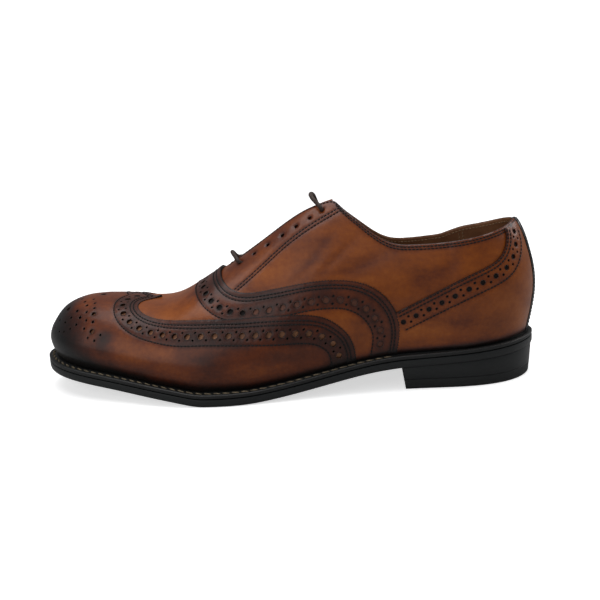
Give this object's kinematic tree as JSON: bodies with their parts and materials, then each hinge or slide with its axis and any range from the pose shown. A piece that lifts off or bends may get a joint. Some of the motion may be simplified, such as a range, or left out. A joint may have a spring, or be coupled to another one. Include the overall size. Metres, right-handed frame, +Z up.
{
  "type": "brogue shoe",
  "caption": "Left full-brogue oxford shoe: tan calf upper with a burnished wing cap, black welted leather sole and stacked heel, laced at its ends.",
  "frame": {"origin": "on the floor under the middle of the shoe's box", "axes": "+X from the toe to the heel, -Y to the outer side of the foot, +Z up"},
  "size_m": [0.3036, 0.1058, 0.1206],
  "materials": {
    "tan_calf": "polished calf, tan with darker burnishing",
    "burnished_calf": "polished calf, burnished dark brown to near black at the toe",
    "black_leather": "edge-dyed black, waxed",
    "black_rubber": "matt black heel rubber",
    "lining": "matt lining leather",
    "lace": "waxed round cotton lace, dark brown"
  },
  "bodies": {
    "root": {"upper": "tan_calf", "wing_cap": "burnished_calf", "vamp": "tan_calf", "counter_outer": "tan_calf", "counter_inner": "tan_calf", "back_strip": "black_leather", "tongue": "tan_calf", "insole": "lining", "welt": "black_leather", "outsole": "black_leather", "heel_stack": "black_leather", "top_lift": "black_rubber", "lace_bar_bottom": "lace", "lace_bar_top": "lace"}
  },
  "joints": []
}
